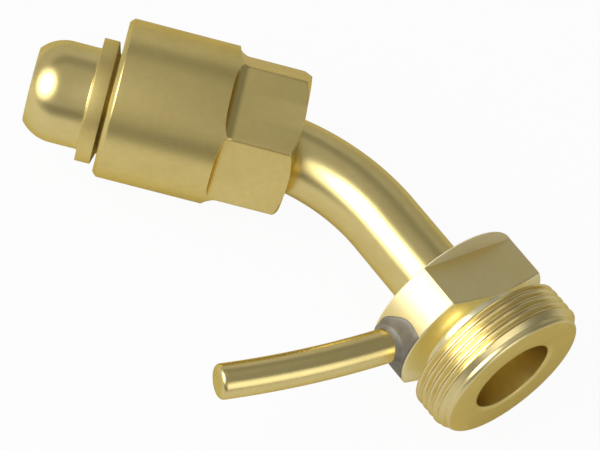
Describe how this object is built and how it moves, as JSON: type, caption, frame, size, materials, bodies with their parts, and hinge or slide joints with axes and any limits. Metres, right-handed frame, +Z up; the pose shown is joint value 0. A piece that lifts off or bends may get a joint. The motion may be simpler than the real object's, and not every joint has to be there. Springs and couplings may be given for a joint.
{
  "type": "bent swivel fitting",
  "caption": "Brass bent-tube connector: bullet-nosed nipple with a loose union nut, a tube bent through 45 degrees, a round male-threaded body with spanner flats and a brazed side rod.",
  "frame": {"origin": "middle of the bounding box in plan, on the level surface that the fitting lies on", "axes": "+X along the nipple's axis from the nose towards the bend, +Z up, and the bend turns towards -Y"},
  "size_m": [0.0962, 0.0672, 0.0287],
  "materials": {
    "turned_brass": "satin, with fine turning marks",
    "polished_brass": "polished",
    "silver_braze": "matt grey silver braze"
  },
  "bodies": {
    "fitting": {"bullet_nipple": "polished_brass", "bent_tube": "polished_brass", "threaded_body": "turned_brass", "stay_rod": "polished_brass", "rod_braze": "silver_braze", "nipple_braze_ring": "silver_braze", "body_braze_ring": "silver_braze"},
    "washer": {"thrust_washer": "turned_brass"},
    "nut": {"swivel_nut": "turned_brass"}
  },
  "joints": [
    {"name": "nut_slide", "type": "slide", "parent": "fitting", "child": "washer", "axis": [-0.9968, -0.0624, -0.0498], "range_m": [0, 0.0163]},
    {"name": "nut_spin", "type": "hinge", "parent": "washer", "child": "nut", "pos_m": [-0.0348, 0.01999, 0.01501], "axis": [-1, 0, 0], "continuous": true}
  ]
}
